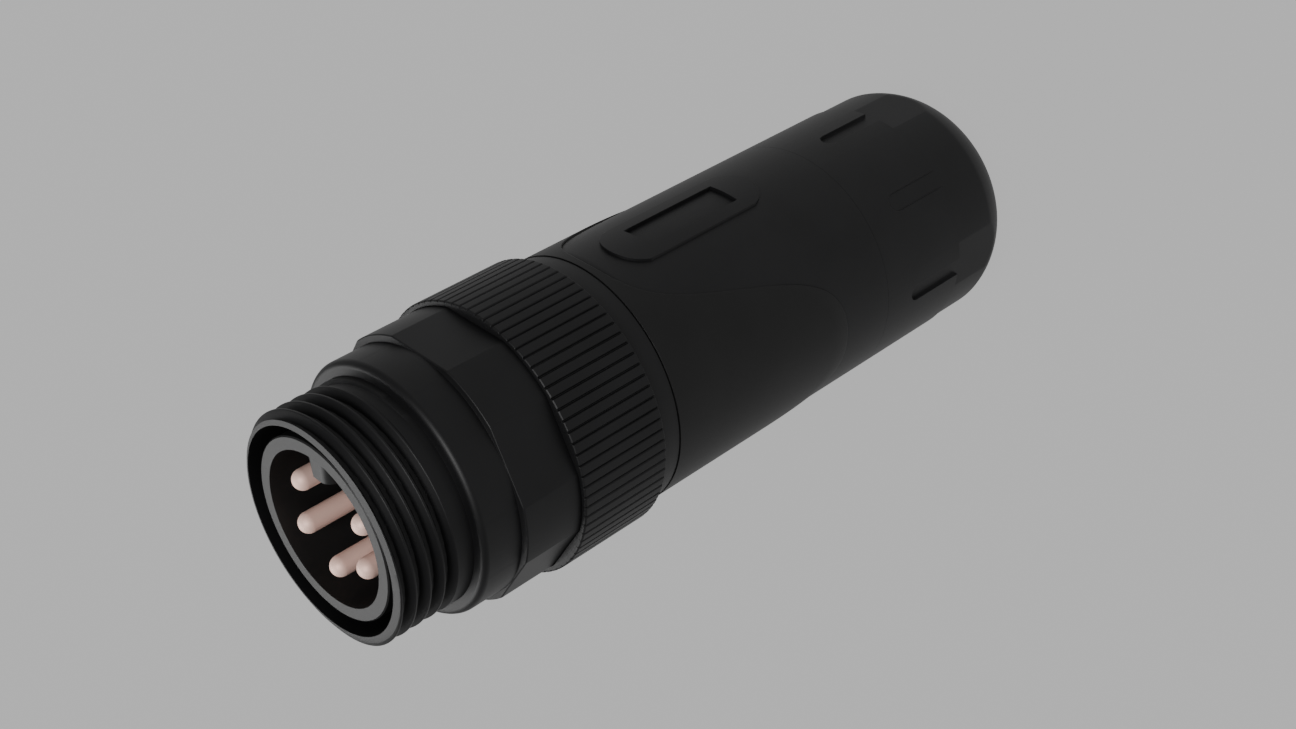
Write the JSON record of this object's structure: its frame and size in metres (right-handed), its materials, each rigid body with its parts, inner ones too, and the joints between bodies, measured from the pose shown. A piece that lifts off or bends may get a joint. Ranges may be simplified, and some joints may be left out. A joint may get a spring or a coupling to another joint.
{
  "type": "circular cable connector with screw coupling",
  "caption": "Round black cable connector with a threaded coupling shell, hexagon, knurled ring, keyed pin insert, soft wavy grip and slotted back nut.",
  "frame": {"origin": "centre of the flat ring at the rear end, on the surface that the connector stands on", "axes": "+Z along the connector's axis towards the mating face; +Y through the raised pad of the rear body, on the side of the insert's key; +X completes the right-handed set"},
  "size_m": [0.0272, 0.0272, 0.0829],
  "materials": {
    "shell_black": "satin black coating on metal",
    "ring_black": "satin black coating on metal",
    "spring_steel": "bright spring steel",
    "seal_rubber": "matt seal rubber",
    "white_nylon": "natural nylon",
    "insert_black": "fine-grained black plastic",
    "contact_metal": "bright plated contact, rose-copper tone",
    "ring_brass": "plain turned brass",
    "body_black": "fine-grained black plastic",
    "grip_soft": "soft matt black overmould",
    "nut_black": "fine-grained black plastic"
  },
  "bodies": {
    "connector": {"rear_body": "body_black", "grip_sleeve": "grip_soft", "pin_carrier": "insert_black", "contact_pin_1": "contact_metal", "contact_pin_2": "contact_metal", "contact_pin_3": "contact_metal", "contact_pin_4": "contact_metal", "contact_pin_5": "contact_metal", "contact_retainer": "white_nylon", "lock_ring": "ring_brass", "carrier_o_ring": "seal_rubber", "coupling_o_ring": "seal_rubber", "face_seal": "seal_rubber", "slide_washer": "white_nylon", "nut_o_ring": "seal_rubber", "cable_seal": "seal_rubber", "clamp_cage": "white_nylon"},
    "coupling": {"coupling_shell": "shell_black", "knurled_ring": "ring_black", "ring_circlip": "spring_steel"},
    "nut_thrust": {"thrust_washer": "spring_steel"},
    "nut": {"back_nut": "nut_black"}
  },
  "joints": [
    {"name": "coupling_turn", "type": "hinge", "parent": "connector", "child": "coupling", "pos_m": [0, 0, 0.0679], "axis": [0, 0, 1], "continuous": true},
    {"name": "nut_travel", "type": "slide", "parent": "connector", "child": "nut_thrust", "axis": [0, 0, -1], "range_m": [0, 0.0015]},
    {"name": "nut_turn", "type": "hinge", "parent": "nut_thrust", "child": "nut", "pos_m": [0, 0, 0.0179], "axis": [0, 0, -1], "range_deg": [0, 360]}
  ],
  "couplings": [
    {"joint": "nut_travel", "follows": "nut_turn", "m_per_rad": 0.00023873}
  ]
}
